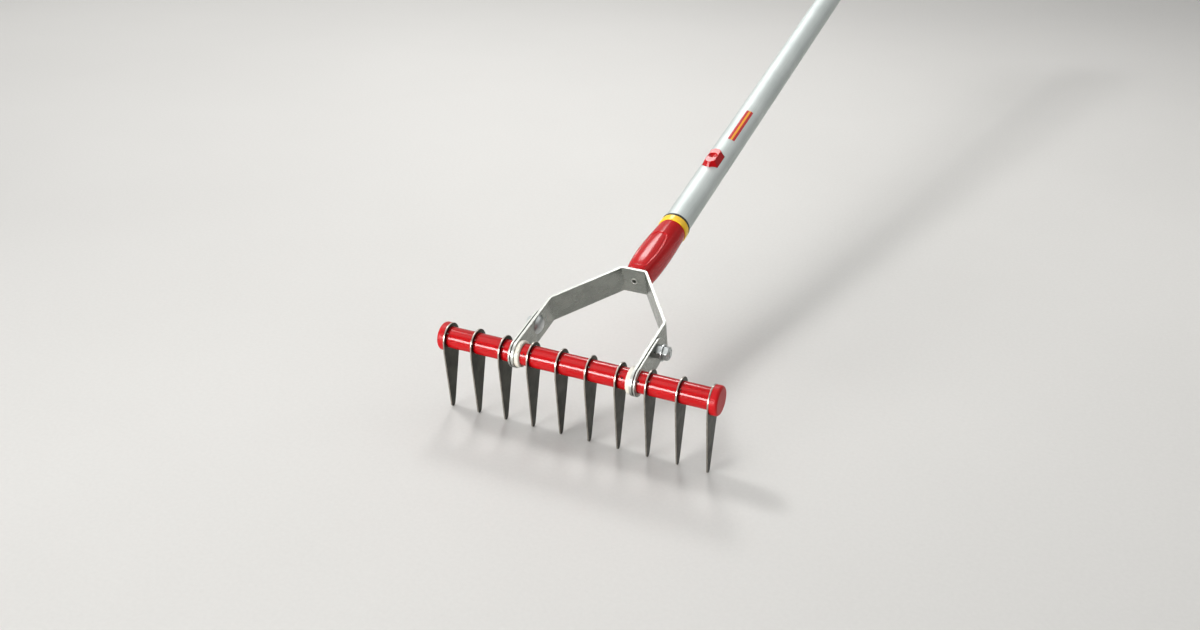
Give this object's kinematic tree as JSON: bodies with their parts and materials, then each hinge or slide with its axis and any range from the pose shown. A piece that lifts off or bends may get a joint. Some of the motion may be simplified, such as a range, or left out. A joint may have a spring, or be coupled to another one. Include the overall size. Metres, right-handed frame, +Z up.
{
  "type": "thatch rake",
  "caption": "Lawn thatch rake with a swinging bar of flat knife tines in a bent flat-bar yoke, a click-in socket with a release button, and a long tube handle with a grip.",
  "frame": {"origin": "middle of the tine bar's axis, halfway between the end caps", "axes": "+X along the tine bar to the rake's right as seen from the front, +Y level towards the user, +Z up; the tines hang along -Z and the handle rises 12.6 degrees above +Y"},
  "size_m": [0.2998, 1.5655, 0.4316],
  "materials": {
    "red_enamel": "gloss enamel on steel tube",
    "red_plastic": "glossy moulded plastic",
    "pin_steel": "dark drawn steel pins",
    "tine_steel": "rolled plate with sheared edges",
    "zinc_steel": "bright zinc plate",
    "white_nylon": "natural nylon",
    "yellow_plastic": "glossy moulded plastic",
    "black_rubber": "smooth rubber",
    "satin_aluminium": "satin drawn tube",
    "spring_steel": "spring strip",
    "grip_rubber": "soft ribbed sleeve"
  },
  "bodies": {
    "frame": {"yoke": "zinc_steel", "strap_left": "zinc_steel", "strap_right": "zinc_steel", "bush_left": "white_nylon", "bush_right": "white_nylon", "strap_spacers": "zinc_steel", "strap_bolts": "zinc_steel", "strap_nuts": "zinc_steel", "bolt_washer": "zinc_steel", "lock_nut": "zinc_steel", "socket": "red_plastic", "socket_rivet": "zinc_steel", "collar_ring": "yellow_plastic", "seal_ring": "black_rubber", "handle_tube": "satin_aluminium", "latch_spring": "spring_steel", "grip": "grip_rubber", "end_plug": "red_plastic"},
    "tine_bar": {"bar_tube": "red_enamel", "end_cap_left": "red_plastic", "end_cap_right": "red_plastic", "bar_retainers": "pin_steel", "stop_pins": "pin_steel", "tine_01": "tine_steel", "tine_02": "tine_steel", "tine_03": "tine_steel", "tine_04": "tine_steel", "tine_05": "tine_steel", "tine_06": "tine_steel", "tine_07": "tine_steel", "tine_08": "tine_steel", "tine_09": "tine_steel", "tine_10": "tine_steel"},
    "button": {"release_button": "red_plastic"}
  },
  "joints": [
    {"name": "tine_swing", "type": "hinge", "parent": "frame", "child": "tine_bar", "pos_m": [0, 0, 0], "axis": [1, 0, 0], "range_deg": [-15, 60]},
    {"name": "button_press", "type": "slide", "parent": "frame", "child": "button", "axis": [0, 0.2181, -0.9759], "range_m": [0, 0.0035], "stiffness_N_per_m": 1500, "springref_m": -0.002, "deforming": ["latch_spring"]}
  ]
}
